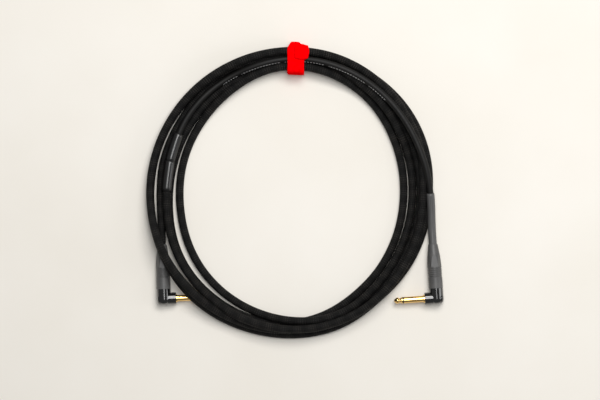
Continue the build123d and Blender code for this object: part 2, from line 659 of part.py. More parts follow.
def assembly():
    """Every sub-part by its name."""
    parts = {}
    places = {
        "plug_a_": plug_place(PLUG_A_AT, PLUG_A_TURN, 180 + PLUG_A_ROLL),
        "plug_b_": plug_place(PLUG_B_AT, PLUG_B_TURN, 0),
    }
    for piece, make in PLUG_PIECES.items():
        shape = make()
        for plug, place in places.items():
            parts[plug + piece] = place * shape
    parts["lead_a"] = lead_a()
    parts["lead_b"] = lead_b()
    parts["lead_a_sleeve"] = sleeve_a()
    parts["lead_b_sleeve"] = sleeve_b()
    parts["splice_sleeve_front"] = splice_section(-1)
    parts["splice_sleeve_rear"] = splice_section(1)
    parts["tie_strap"] = tie_strap()
    parts["tie_tab"] = tie_tab()
    leads = [parts[name] for name in ("lead_a", "lead_b", "lead_a_sleeve", "lead_b_sleeve")]
    taken = leads + [splice_tube(), tie_room(), tie_tab(), boot_room()]
    parts["cable_coil"] = coil(taken)
    return parts


os.makedirs("parts", exist_ok=True)
for name, shape in assembly().items():
    export_step(shape, f"parts/{name}.step")
    print(name, round(shape.volume, 1))
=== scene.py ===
"""Looks of the coiled instrument cable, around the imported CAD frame.

Everything is in metres in the CAD's own frame. The cable's route repeats the one in the
CAD source; its rows are in millimetres and are scaled once, by MM.
"""
import math

import bmesh
import bpy
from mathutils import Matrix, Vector, noise


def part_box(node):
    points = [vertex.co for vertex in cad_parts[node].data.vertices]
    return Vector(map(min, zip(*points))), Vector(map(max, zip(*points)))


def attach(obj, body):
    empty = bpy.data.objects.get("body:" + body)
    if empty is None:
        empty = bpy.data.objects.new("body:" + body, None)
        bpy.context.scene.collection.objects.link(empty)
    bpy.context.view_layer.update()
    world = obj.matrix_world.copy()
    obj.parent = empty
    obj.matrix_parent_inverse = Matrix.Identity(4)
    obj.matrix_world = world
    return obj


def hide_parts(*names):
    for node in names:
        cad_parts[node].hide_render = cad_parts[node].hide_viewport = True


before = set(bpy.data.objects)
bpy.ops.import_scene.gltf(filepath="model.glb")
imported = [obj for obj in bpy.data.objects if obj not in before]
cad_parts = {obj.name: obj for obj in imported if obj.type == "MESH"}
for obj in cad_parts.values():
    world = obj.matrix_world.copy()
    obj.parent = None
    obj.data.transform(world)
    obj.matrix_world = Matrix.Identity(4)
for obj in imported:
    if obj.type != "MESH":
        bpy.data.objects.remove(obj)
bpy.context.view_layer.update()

MM = 0.001

# ---------------------------------------------------------------- sizes and places
JACKET_D = 6.3 * MM
BRAID_D = 7.8 * MM
SLEEVE_R = 4.0 * MM
SPLICE_R = 5.0 * MM
PLUG_HEIGHT = 7.1 * MM
COIL_CENTRE = Vector((-8.7, -19.2, 0)) * MM
PLUG_A_AT = Vector((-126.6, -105.3, 0)) * MM
PLUG_B_AT = Vector((145.2, -104.6, 0)) * MM
PLUG_A_TURN = 2.0
PLUG_B_TURN = 4.0
JACKET_START = 11.0 * MM     # along a plug's cable, from its pin's axis
NECK_TOP = 53.7 * MM
SLEEVE_START = 42.0 * MM
SLEEVE_TRIM = 1.2 * MM       # the rolled lower ends clear the chucks at full travel
SLEEVE_A_END = 55.2 * MM     # plug A's sleeve is short, and the braid starts at its end
LEAD_A_BEND_AT = 78.0 * MM
LEAD_B_BEND_AT = 72.0 * MM
LEAD_A_RISE = Vector((-130.5, -4.0, 4.9)) * MM
LEAD_B_RISE = Vector((139.4, -3.0, 12.2)) * MM
COIL_START = 10.0
SPLICE = (152.0, 165.0, 179.0)
COIL_END = 5 * 360 + 170.0
SLEEVE_B_END_AT = Vector((139.5, -1.0, 12.0)) * MM
TIE_ANGLE = 87.6
TIE_INNER = 118.0 * MM       # the tie's reach, outwards from the coil's centre
TIE_OUTER = 149.8 * MM
STRAP_LAYER = 1.0 * MM
STRAP_CORNER = 4.5 * MM
FOLD_FROM = 0.72             # share of a wrap's reach from which it narrows
EDGE_FUZZ = 420              # how finely the strap's edges and its pile are uneven
PILE_FUZZ = 520
STEP = 10                    # degrees between the coil's control points
SPACING = 2.0 * MM           # between the rings of a swept tube

# The cable runs from plug B round the coil's centre to plug A. Each row of a turn is
# (angle, radius, height of the cable's axis), in degrees and millimetres.
TURNS = [
    [  # from plug B over the outer turns, through the splice, then on top
        (0, 139.4, 12.0), (10, 136.6, 16.9), (20, 134.6, 17.1), (33, 134.0, 16.7),
        (45, 134.0, 15.7), (60, 134.0, 17.0), (75, 133.9, 16.8), (84, 133.7, 14.2),
        (91, 133.5, 14.0), (98, 132.1, 16.5), (106, 131.0, 15.2), (114, 130.5, 10.0),
        (122, 129.9, 8.3), (132, 129.2, 9.8), (142, 128.2, 10.6), (152, 126.2, 11.4),
        (165, 123.9, 12.3), (179, 123.7, 12.4), (190, 125.0, 11.7), (200, 127.0, 11.8),
        (210, 128.7, 11.8), (220, 130.3, 11.8), (229, 131.2, 11.9), (236, 131.7, 14.4),
        (243, 132.8, 16.9), (250, 133.7, 17.5), (260, 134.5, 17.9), (270, 135.5, 17.8),
        (280, 136.2, 16.8), (288, 136.3, 15.7), (295, 136.3, 15.3), (302, 136.1, 17.1),
        (310, 135.3, 18.2), (320, 134.4, 16.2), (330, 133.3, 13.8), (340, 132.5, 11.6),
        (350, 131.8, 11.3),
    ],
    [  # out under the first turn to the outside, over plug A, then down inside
        (0, 131.0, 11.4), (10, 133.7, 10.8), (20, 136.4, 10.5), (33, 138.0, 10.8),
        (45, 140.0, 11.6), (60, 141.5, 11.8), (75, 142.0, 12.2), (84, 141.6, 13.6),
        (91, 141.3, 14.2), (98, 140.9, 17.0), (108, 140.4, 19.0), (120, 140.0, 19.0),
        (130, 140.0, 17.2), (138, 140.0, 13.4), (146, 140.0, 11.8), (160, 140.0, 11.8),
        (175, 140.2, 12.0), (185, 140.1, 13.8), (195, 140.0, 20.2), (203, 139.7, 24.9),
        (208, 139.4, 25.5), (213, 139.1, 23.2), (219, 138.8, 20.2), (225, 138.6, 18.6),
        (230, 138.6, 17.8), (236, 138.5, 15.0), (242, 138.1, 12.0), (250, 137.9, 10.8),
        (260, 137.4, 10.7), (270, 136.2, 10.0), (280, 134.7, 8.2), (288, 133.4, 4.4),
        (296, 132.5, 3.9), (310, 130.9, 3.9), (325, 129.8, 3.9), (345, 129.2, 3.9),
    ],
    [  # on the surface, in the middle of the coil, then to the inside
        (0, 129.0, 3.9), (20, 130.3, 3.9), (33, 130.2, 3.9), (45, 130.6, 3.9),
        (60, 131.5, 3.9), (67, 129.9, 3.9), (75, 127.4, 4.4), (84, 126.5, 5.9),
        (91, 126.3, 5.9), (98, 126.0, 4.6), (108, 125.3, 3.9), (120, 124.0, 3.9),
        (135, 122.6, 3.9), (150, 121.2, 3.9), (165, 120.5, 3.9), (180, 121.3, 3.9),
        (190, 123.0, 3.9), (200, 125.5, 3.9), (210, 127.8, 3.9), (220, 129.2, 3.9),
        (235, 130.3, 3.9), (250, 131.6, 3.9), (260, 131.4, 3.9), (270, 130.0, 3.9),
        (280, 128.0, 3.9), (288, 125.4, 3.9), (295, 122.8, 3.9), (302, 120.3, 3.9),
        (310, 118.3, 3.9), (320, 116.5, 3.9), (330, 114.6, 3.9), (345, 112.9, 3.9),
    ],
    [  # innermost, up over the turn before it at the tie and again near the bottom
        (0, 112.5, 3.9), (20, 114.5, 3.9), (33, 117.2, 3.9), (45, 120.5, 3.9),
        (60, 123.5, 6.0), (67, 124.6, 9.6), (75, 125.5, 11.8), (84, 126.2, 13.6),
        (91, 126.3, 13.7), (100, 124.8, 12.0), (110, 121.8, 11.0), (120, 118.5, 9.6),
        (130, 116.0, 7.4), (140, 114.0, 4.6), (150, 112.8, 3.9), (165, 111.6, 3.9),
        (180, 111.0, 3.9), (190, 111.5, 3.9), (200, 113.0, 3.9), (215, 116.0, 3.9),
        (230, 119.0, 3.9), (245, 122.0, 3.9), (252, 123.3, 4.8), (260, 125.0, 8.3),
        (270, 127.0, 11.2), (280, 128.9, 13.2), (288, 130.0, 11.3), (295, 129.5, 11.1),
        (302, 128.2, 10.8), (310, 126.0, 10.2), (320, 124.3, 9.0), (330, 122.5, 7.3),
        (340, 121.5, 5.1), (350, 121.1, 3.9),
    ],
    [  # crosses to the outside below the tie, then under the second turn
        (0, 121.0, 3.9), (12, 122.0, 3.9), (20, 122.6, 4.4), (27, 123.6, 7.6),
        (33, 125.0, 10.1), (45, 127.3, 11.3), (60, 129.5, 11.5), (67, 131.8, 11.3),
        (75, 133.4, 9.8), (84, 133.9, 6.6), (91, 134.1, 7.0), (98, 135.4, 10.0),
        (104, 136.6, 11.4), (112, 137.7, 11.8), (120, 138.4, 11.4), (130, 139.0, 9.6),
        (138, 139.6, 5.8), (146, 139.9, 4.0), (160, 140.0, 3.9), (174, 140.1, 3.9),
        (185, 140.2, 6.2), (195, 140.4, 12.6), (203, 140.8, 17.3), (208, 141.0, 17.9),
        (213, 141.7, 15.8), (219, 142.2, 13.1), (225, 142.4, 11.9), (230, 142.5, 11.1),
        (236, 142.4, 8.2), (242, 142.2, 5.2), (250, 141.7, 3.9), (260, 141.4, 3.9),
        (275, 141.3, 3.9), (284, 141.1, 4.3), (290, 140.5, 6.0), (296, 139.2, 8.0),
        (303, 137.2, 9.5), (310, 135.8, 10.5), (320, 136.4, 8.6), (330, 136.8, 6.7),
        (340, 137.0, 4.4), (350, 137.2, 3.9),
    ],
    [  # outermost on the surface, inwards past the tie, up to plug A's lead
        (0, 137.5, 3.9), (10, 139.5, 3.9), (20, 141.0, 3.9), (33, 142.0, 3.9),
        (45, 142.0, 3.9), (60, 140.9, 3.9), (75, 141.4, 4.4), (84, 141.7, 5.9),
        (91, 141.7, 5.9), (98, 140.4, 4.4), (104, 139.0, 3.9), (112, 137.4, 3.9),
        (120, 136.0, 3.9), (130, 133.5, 3.9), (140, 131.9, 3.9), (150, 131.1, 3.9),
        (165, 131.0, 3.9), (172, 131.0, 4.2),
    ],
]


# ---------------------------------------------------------------- route
def stations():
    """Every row of TURNS as (angle counted over the turns, radius, height)."""
    rows = []
    for number, turn in enumerate(TURNS):
        for angle, radius, height in turn:
            rows.append((angle + 360 * number, radius * MM, height * MM))
    return rows


STATIONS = stations()


def coil_point(angle):
    """Radius and height of the cable's axis at an angle, smoothly between the rows."""
    last = len(STATIONS) - 2
    i = 0
    while i < last and STATIONS[i + 1][0] < angle:
        i += 1
    before = STATIONS[max(i - 1, 0)]
    start, end = STATIONS[i], STATIONS[i + 1]
    after = STATIONS[min(i + 2, last + 1)]
    width = end[0] - start[0]
    t = min(max((angle - start[0]) / width, 0.0), 1.0)
    found = []
    for k in (1, 2):
        slope_0 = (end[k] - before[k]) / (end[0] - before[0]) * width
        slope_1 = (after[k] - start[k]) / (after[0] - start[0]) * width
        found.append(
            (2 * t**3 - 3 * t**2 + 1) * start[k]
            + (t**3 - 2 * t**2 + t) * slope_0
            + (3 * t**2 - 2 * t**3) * end[k]
            + (t**3 - t**2) * slope_1
        )
    return found[0], found[1]


def route_point(angle, outset=1.0):
    """A point of the cable's axis in the coil."""
    radius, height = coil_point(angle)
    a = math.radians(angle)
    flat = Vector((math.cos(a), math.sin(a), 0)) * radius * outset
    return COIL_CENTRE + flat + Vector((0, 0, height))


def coil_controls(start, end):
    """Control points of the turns between two angles; a spline passes inside its
    control points by the cosine of half a step, which outset makes good."""
    outset = 1 / math.cos(math.radians(STEP / 2))
    count = round((end - start) / STEP)
    angles = [start + (end - start) * i / count for i in range(count + 1)]
    return [route_point(a, outset) for a in angles]


def plug_axis(at, turn):
    """Origin of a plug and the direction of its cable."""
    a = math.radians(turn)
    origin = COIL_CENTRE + at + Vector((0, 0, PLUG_HEIGHT))
    return origin, Vector((-math.sin(a), math.cos(a), 0))


def lead_controls(at, turn, bend_at, rise):
    """Control points of a lead, from inside its plug to just before the coil."""
    origin, along = plug_axis(at, turn)
    stops = (JACKET_START, NECK_TOP, bend_at)
    return [origin + along * d for d in stops] + [COIL_CENTRE + rise]


def spline_points(name, controls):
    """Evenly spaced points of the smooth NURBS line through a list of controls."""
    curve = bpy.data.curves.new(name, "CURVE")
    curve.dimensions = "3D"
    curve.resolution_u = 12
    spline = curve.splines.new("NURBS")
    spline.points.add(len(controls) - 1)
    for point, place in zip(spline.points, controls):
        point.co = (*place, 1.0)
    spline.order_u = 3
    spline.use_endpoint_u = True
    line = bpy.data.objects.new(name, curve)
    bpy.context.scene.collection.objects.link(line)
    bpy.context.view_layer.update()
    mesh = bpy.data.meshes.new_from_object(line)
    raw = [v.co.copy() for v in mesh.vertices]
    bpy.data.objects.remove(line)
    bpy.data.meshes.remove(mesh)
    return respaced(raw, SPACING)


def respaced(raw, spacing):
    """The same line with its points evenly spaced."""
    points, carried = [raw[0]], 0.0
    for a, b in zip(raw, raw[1:]):
        step = (b - a).length
        while carried + step >= spacing:
            t = (spacing - carried) / step
            a = a.lerp(b, t)
            points.append(a)
            step = (b - a).length
            carried = 0.0
        carried += step
    points.append(raw[-1])
    return points


def length_of(points):
    return sum((b - a).length for a, b in zip(points, points[1:]))


# ---------------------------------------------------------------- mesh tools
def add_piece(name, mesh, materials):
    piece = bpy.data.objects.new(name, mesh)
    bpy.context.scene.collection.objects.link(piece)
    for material in materials:
        mesh.materials.append(material)
    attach(piece, "root")
    return piece


def swept(name, points, radius_at, sides, materials, slot_at=None):
    """A closed tube along points. radius_at gives the radius at a distance and an angle,
    and slot_at the material's number at a distance. The UV map "cable" holds the share
    round the tube and the distance along it in metres."""
    mesh = bpy.data.meshes.new(name)
    bm = bmesh.new()
    uv = bm.loops.layers.uv.new("cable")
    rings, along = [], [0.0]
    for a, b in zip(points, points[1:]):
        along.append(along[-1] + (b - a).length)
    for i, place in enumerate(points):
        ahead = points[min(i + 1, len(points) - 1)] - points[max(i - 1, 0)]
        out = ahead.cross(Vector((0, 0, 1))).normalized()
        up = out.cross(ahead).normalized()
        ring = []
        for k in range(sides):
            a = 2 * math.pi * k / sides
            r = radius_at(along[i], a)
            ring.append(bm.verts.new(place + (out * math.cos(a) + up * math.sin(a)) * r))
        rings.append(ring)
    for i, (low, high) in enumerate(zip(rings, rings[1:])):
        for k in range(sides):
            n = (k + 1) % sides
            face = bm.faces.new((low[k], low[n], high[n], high[k]))
            face.smooth = True
            if slot_at:
                face.material_index = slot_at(along[i])
            shares = (k / sides, (k + 1) / sides, (k + 1) / sides, k / sides)
            heights = (along[i], along[i], along[i + 1], along[i + 1])
            for loop, u, v in zip(face.loops, shares, heights):
                loop[uv].uv = (u, v)
    bm.faces.new(list(reversed(rings[0])))
    last = bm.faces.new(rings[-1])
    if slot_at:
        last.material_index = slot_at(along[-1])
    bmesh.ops.recalc_face_normals(bm, faces=bm.faces)
    bm.to_mesh(mesh)
    bm.free()
    return add_piece(name, mesh, materials)


# ---------------------------------------------------------------- materials
class Nodes:
    """A material's node tree, with one call for each kind of node."""

    def __init__(self, name):
        self.material = bpy.data.materials.new(name)
        self.material.use_nodes = True
        self.tree = self.material.node_tree
        self.shader = self.tree.nodes["Principled BSDF"]

    def add(self, kind, inputs=(), **settings):
        node = self.tree.nodes.new(kind)
        for key, value in settings.items():
            setattr(node, key, value)
        for key, value in dict(inputs).items():
            self.put(node.inputs[key], value)
        return node

    def put(self, socket, value):
        if isinstance(value, bpy.types.NodeSocket):
            self.tree.links.new(value, socket)
        else:
            socket.default_value = value

    def math(self, operation, a, b=0.0):
        node = self.add("ShaderNodeMath", {0: a, 1: b}, operation=operation)
        return node.outputs[0]

    # where a Mix node has its inputs A and B and its output, for each type
    MIX_SOCKETS = {"FLOAT": (2, 3, 0), "RGBA": (6, 7, 2)}

    def mix(self, share, a, b, kind="RGBA"):
        at_a, at_b, result = self.MIX_SOCKETS[kind]
        node = self.add("ShaderNodeMix", data_type=kind)
        self.put(node.inputs["Factor"], share)
        self.put(node.inputs[at_a], a)
        self.put(node.inputs[at_b], b)
        return node.outputs[result]

    def span(self, value, low, high, to_low=0.0, to_high=1.0):
        node = self.add("ShaderNodeMapRange", {
            "Value": value, "From Min": low, "From Max": high,
            "To Min": to_low, "To Max": to_high})
        return node.outputs[0]

    def place(self):
        return self.add("ShaderNodeTexCoord").outputs["Object"]

    def noise(self, scale, detail=3.0, at=None, roughness=0.5):
        node = self.add("ShaderNodeTexNoise", {
            "Vector": at or self.place(), "Scale": scale, "Detail": detail,
            "Roughness": roughness})
        return node.outputs["Fac"]

    def bump(self, height, distance, strength=1.0):
        node = self.add("ShaderNodeBump", {
            "Height": height, "Distance": distance, "Strength": strength})
        return node.outputs["Normal"]

    def set(self, **sockets):
        for name, value in sockets.items():
            self.put(self.shader.inputs[name.replace("_", " ")], value)
        return self.material

    def cable_uv(self):
        """The UV map that swept makes."""
        return self.add("ShaderNodeUVMap", uv_map="cable").outputs["UV"]

    def cable_place(self):
        """Share round the tube and distance along it, in metres."""
        parts = self.add("ShaderNodeSeparateXYZ", {0: self.cable_uv()})
        return parts.outputs["X"], parts.outputs["Y"]


def grey(value, warm=0.0):
    return (value * (1 + warm), value, value * (1 - warm), 1.0)


def braid_material():
    """Two sets of fine yarns that cross over and under each other."""
    n = Nodes("braided_sleeve")
    u, v = n.cable_place()
    carriers, pitch = 14.0, 400.0           # yarn bundles round it, and in a metre
    row_pitch, row_lean = 470.0, 0.0012     # raised rows in a metre, and their slope
    around = n.math("MULTIPLY", u, carriers)
    along = n.math("MULTIPLY", v, pitch)
    left = n.math("ADD", around, along)
    right = n.math("SUBTRACT", around, along)
    heights = []
    for family in (left, right):
        share = n.math("FRACT", family)
        arch = n.math("SINE", n.math("MULTIPLY", share, math.pi))
        yarns = n.math("SINE", n.math("MULTIPLY", share, 6 * math.pi))
        yarns = n.math("MULTIPLY", n.math("ABSOLUTE", yarns), 0.22)
        heights.append(n.math("ADD", n.math("POWER", arch, 0.6), yarns))
    parity = n.math("ADD", n.math("FLOOR", left), n.math("FLOOR", right))
    on_top = n.math("MODULO", n.math("ABSOLUTE", parity), 2.0)
    on_top = n.math("GREATER_THAN", on_top, 0.5)
    weave = n.mix(on_top, *heights, kind="FLOAT")
    blotch = n.noise(60.0, 4.0)
    fluff = n.noise(5200.0, 3.0)
    lit = n.math("MULTIPLY", weave, n.span(fluff, 0.3, 0.7, 0.75, 1.1))
    base = n.mix(n.span(blotch, 0.35, 0.65), grey(0.024, 0.02), grey(0.04, 0.14))
    # painted shade: the yarns of one family are coloured darker than the other's, as if
    # they caught less light
    base = n.mix(on_top, base, grey(0.0015))
    rows = n.math("ADD", v, n.math("MULTIPLY", u, row_lean))
    rows = n.math("SINE", n.math("MULTIPLY", rows, 2 * math.pi * row_pitch))
    # painted shade: darker in the grooves between the raised rows
    base = n.mix(n.span(rows, -0.3, 0.5), grey(0.0008), base)
    # painted shade: near black where the weave is low, in the gaps and at the sides of the
    # yarns
    colour = n.mix(n.span(lit, 0.5, 1.1), grey(0.0004), base)
    height = n.math("ADD", weave, n.math("MULTIPLY", fluff, 0.25))
    height = n.math("ADD", height, n.math("MULTIPLY", rows, 0.4))
    n.set(Base_Color=colour, Roughness=n.span(lit, 0.4, 1.15, 0.95, 0.48),
          Normal=n.bump(height, 0.28 * MM))
    return n.set(Specular_IOR_Level=0.2)


def jacket_material():
    """Satin jacket with a row of plain printed dashes, in groups, along its inner side."""
    n = Nodes("jacket")
    u, v = n.cable_place()
    row_at, row_half = 0.43, 0.03           # shares round the cable
    dash_pitch, dash_share = 330.0, 0.58    # dashes in a metre, and how much they fill
    group_pitch, group_share = 22.0, 0.88
    print_start, print_end = 0.2, 0.38      # metres along the cable
    fine = n.noise(900.0, 4.0)
    broad = n.noise(45.0, 3.0)
    beside = n.math("ABSOLUTE", n.math("SUBTRACT", u, row_at))
    in_row = n.math("LESS_THAN", beside, row_half)
    dash = n.math("FRACT", n.math("MULTIPLY", v, dash_pitch))
    dash = n.math("LESS_THAN", dash, dash_share)
    group = n.math("FRACT", n.math("MULTIPLY", v, group_pitch))
    group = n.math("LESS_THAN", group, group_share)
    after = n.math("GREATER_THAN", v, print_start)
    before = n.math("LESS_THAN", v, print_end)
    print_mask = in_row
    for part in (dash, group, after, before):
        print_mask = n.math("MULTIPLY", print_mask, part)
    worn = n.math("MULTIPLY", print_mask, n.span(fine, 0.3, 0.45))
    base = n.mix(n.span(broad, 0.3, 0.7), grey(0.002, 0.05), grey(0.0045, 0.12))
    colour = n.mix(worn, base, grey(0.62))
    rough = n.span(fine, 0.3, 0.7, 0.5, 0.62)
    n.set(Base_Color=colour, Roughness=rough, Normal=n.bump(fine, 0.03 * MM, 0.6))
    return n.set(Specular_IOR_Level=0.28)


def shrink_material(name, value, rough, gloss):
    """Heat-shrink tubing: faint lengthwise streaks and a slightly uneven skin."""
    n = Nodes(name)
    stretch = n.add("ShaderNodeMapping", {
        "Vector": n.cable_uv(), "Scale": (26.0, 60.0, 1.0)})
    streak = n.noise(1.0, 4.0, at=stretch.outputs[0])
    fine = n.noise(1400.0, 3.0)
    colour = n.mix(n.span(streak, 0.3, 0.7), grey(value * 0.8), grey(value * 1.25))
    height = n.math("ADD", streak, n.math("MULTIPLY", fine, 0.15))
    n.set(Base_Color=colour, Roughness=n.span(streak, 0.3, 0.7, rough, rough + 0.12),
          Normal=n.bump(height, 0.05 * MM, 0.5))
    return n.set(Coat_Weight=gloss, Coat_Roughness=0.12)


def moulded_material(name, value, rough, grain, coat=0.0):
    """Moulded plastic with a fine grain and slight rubbing marks."""
    n = Nodes(name)
    fine = n.noise(grain, 4.0)
    marks = n.noise(140.0, 6.0, roughness=0.7)
    edge = n.add("ShaderNodeNewGeometry").outputs["Pointiness"]
    worn = n.span(edge, 0.52, 0.62)
    base = n.mix(n.span(marks, 0.35, 0.65), grey(value * 0.85), grey(value * 1.15, 0.02))
    colour = n.mix(n.math("MULTIPLY", worn, 0.35), base, grey(value * 2.2))
    n.set(Base_Color=colour, Roughness=n.span(marks, 0.3, 0.7, rough, rough + 0.14),
          Normal=n.bump(fine, 0.04 * MM, 0.5))
    return n.set(Coat_Weight=coat, Coat_Roughness=0.04, Specular_IOR_Level=0.5)


def metal_material(name, colour, rough):
    """Plated metal with faint turning marks and smudges."""
    n = Nodes(name)
    marks = n.noise(700.0, 5.0)
    smudge = n.noise(90.0, 3.0)
    tint = n.mix(n.span(smudge, 0.3, 0.7), (*colour, 1.0),
                 (*(c * 0.86 for c in colour), 1.0))
    n.set(Base_Color=tint, Roughness=n.span(smudge, 0.3, 0.7, rough, rough + 0.1),
          Normal=n.bump(marks, 0.01 * MM, 0.4))
    return n.set(Metallic=1.0)


def strap_material():
    """Brushed nylon loop pile, matted in places."""
    n = Nodes("hook_and_loop")
    loops = n.add("ShaderNodeTexVoronoi", {"Vector": n.place(), "Scale": 1500.0})
    pile = n.noise(2600.0, 5.0, roughness=0.7)
    matted = n.noise(240.0, 4.0)
    height = n.math("ADD", n.math("MULTIPLY", loops.outputs["Distance"], 0.6), pile)
    colour = n.mix(n.span(n.math("ADD", pile, matted), 0.75, 1.2),
                   (0.8, 0.0, 0.0, 1.0), (1.0, 0.0, 0.002, 1.0))
    n.set(Base_Color=colour, Roughness=n.span(matted, 0.3, 0.7, 0.75, 0.95),
          Normal=n.bump(height, 0.2 * MM))
    return n.set(Sheen_Weight=0.3, Sheen_Roughness=0.4,
                 Sheen_Tint=(1.0, 0.0, 0.0, 1.0), Specular_IOR_Level=0.0)


def floor_material():
    n = Nodes("studio_floor")
    broad = n.noise(6.0, 5.0)
    tone = n.mix(n.span(broad, 0.3, 0.7), (0.79, 0.755, 0.69, 1), (0.83, 0.80, 0.745, 1))
    n.set(Base_Color=tone, Roughness=0.7)
    return n.set(Specular_IOR_Level=0.2)


# ---------------------------------------------------------------- camera
def make_camera():
    """Straight above, with 600 x 400 mm of the surface in view."""
    height, view_width, sensor = 2.4, 0.6, 36.0
    across, back = 9 * MM, -7 * MM       # from the coil's centre, to take in the plugs
    data = bpy.data.cameras.new("camera")
    camera = bpy.data.objects.new("camera", data)
    data.sensor_width = sensor
    data.lens = sensor * height / view_width
    data.clip_end = 20.0
    camera.location = COIL_CENTRE + Vector((across, back, height))
    bpy.context.scene.collection.objects.link(camera)
    bpy.context.scene.camera = camera


# ---------------------------------------------------------------- cable
def braid_end(length):
    """Where the braid ends by plug A, as a distance along the second stretch."""
    return length - (SLEEVE_A_END - JACKET_START)


def braid_radius(distance, length):
    """The braid's radius, which falls to the jacket's over a millimetre at its end."""
    fall = min(max((distance - braid_end(length)) / (1 * MM), 0.0), 1.0)
    return BRAID_D / 2 + fall * (JACKET_D - BRAID_D) / 2


def make_cables(braid, jacket):
    """Both stretches of the cable; returns their points."""
    controls_b = lead_controls(PLUG_B_AT, PLUG_B_TURN, LEAD_B_BEND_AT, LEAD_B_RISE)
    controls_a = lead_controls(PLUG_A_AT, PLUG_A_TURN, LEAD_A_BEND_AT, LEAD_A_RISE)
    first = spline_points("route_b", controls_b + coil_controls(COIL_START, SPLICE[1]))
    second = spline_points(
        "route_a", coil_controls(SPLICE[1], COIL_END) + list(reversed(controls_a)))
    smooth = swept("cable_smooth", first, lambda s, a: JACKET_D / 2, 24, [jacket])
    length = length_of(second)
    braided = swept("cable_braided", second,
                    lambda s, a: braid_radius(s, length), 24, [braid, jacket],
                    slot_at=lambda s: int(s > braid_end(length)))
    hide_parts("lead_b")
    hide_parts("lead_a", "cable_coil")
    return first, second


def part_of(points, low, high):
    """The points between two distances along a line."""
    found, gone = [], 0.0
    for a, b in zip(points, points[1:]):
        if low <= gone <= high:
            found.append(a)
        gone += (b - a).length
    return found


def distance_to(points, target):
    """How far along a line its nearest point to a target is."""
    best, gone, found = 1e9, 0.0, 0.0
    for a, b in zip(points, points[1:]):
        if (a - target).length < best:
            best, found = (a - target).length, gone
        gone += (b - a).length
    return found


def shrink_tube(name, node, points, radius, material, ripple=0.0):
    """Heat-shrink sleeve on the cable, with rolled ends and an uneven skin."""
    length = length_of(points)
    rolled = 1.2 * MM

    def radius_at(s, a):
        near = min(s, length - s, rolled) / rolled
        wave = ripple * noise.noise(Vector((s * 260, math.cos(a) * 2, math.sin(a) * 2)))
        return radius * (0.94 + 0.06 * math.sqrt(max(near, 0))) + wave

    piece = swept(name, points, radius_at, 32, [material])
    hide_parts(node)
    return piece


def make_sleeves(first, second, shrink, splice):
    """The sleeves by both plugs, and the two that meet in the middle of the splice."""
    origin, along = plug_axis(PLUG_B_AT, PLUG_B_TURN)
    start = distance_to(first, origin + along * SLEEVE_START)
    end = distance_to(first, COIL_CENTRE + SLEEVE_B_END_AT)
    shrink_tube("heat_shrink_b", "lead_b_sleeve",
                part_of(first, start + SLEEVE_TRIM, end), SLEEVE_R, shrink, 0.1 * MM)
    origin, along = plug_axis(PLUG_A_AT, PLUG_A_TURN)
    start = distance_to(second, origin + along * SLEEVE_A_END)
    end = distance_to(second, origin + along * SLEEVE_START)
    shrink_tube("heat_shrink_a", "lead_a_sleeve",
                part_of(second, start, end - SLEEVE_TRIM), SLEEVE_R, shrink)
    low, middle, high = (route_point(a) for a in SPLICE)
    whole = first[:-1] + second
    joint = distance_to(whole, middle)
    shrink_tube("splice_front", "splice_sleeve_front",
                part_of(whole, distance_to(whole, low), joint), SPLICE_R, splice)
    shrink_tube("splice_rear", "splice_sleeve_rear",
                part_of(whole, joint, distance_to(whole, high)), SPLICE_R, splice)


# ---------------------------------------------------------------- tie
def tie_place(x, across, z):
    """A point in the tie's own frame: outwards from the coil's centre, clockwise across
    the strap, and up."""
    a = math.radians(TIE_ANGLE)
    out = Vector((math.cos(a), math.sin(a), 0))
    side = Vector((math.sin(a), -math.cos(a), 0))
    return COIL_CENTRE + out * x + side * across + Vector((0, 0, z))


def rounded_loop(low, high, corner):
    """Evenly spaced points and outward directions round a rounded rectangle."""
    steps = 8
    middle = ((low[0] + high[0]) / 2, (low[1] + high[1]) / 2)
    half = ((high[0] - low[0]) / 2 - corner, (high[1] - low[1]) / 2 - corner)
    raw = []
    for quarter in range(4):
        sx = 1 if quarter in (0, 3) else -1
        sy = 1 if quarter in (0, 1) else -1
        for i in range(steps + 1):
            a = (quarter + i / steps) * math.pi / 2
            raw.append(Vector((middle[0] + sx * half[0] + corner * math.cos(a),
                               middle[1] + sy * half[1] + corner * math.sin(a), 0)))
    line = respaced(raw + [raw[0]], 0.7 * MM)[:-1]
    found = []
    for i, point in enumerate(line):
        ahead = line[(i + 1) % len(line)] - line[i - 1]
        found.append((point, Vector((ahead.y, -ahead.x, 0)).normalized()))
    return found


def fuzz(x, y, z, size, scale):
    """Uneven pile: a small shift that varies over a surface."""
    return size * noise.fractal(Vector((x, y, z)) * scale, 1.0, 2.0, 3)


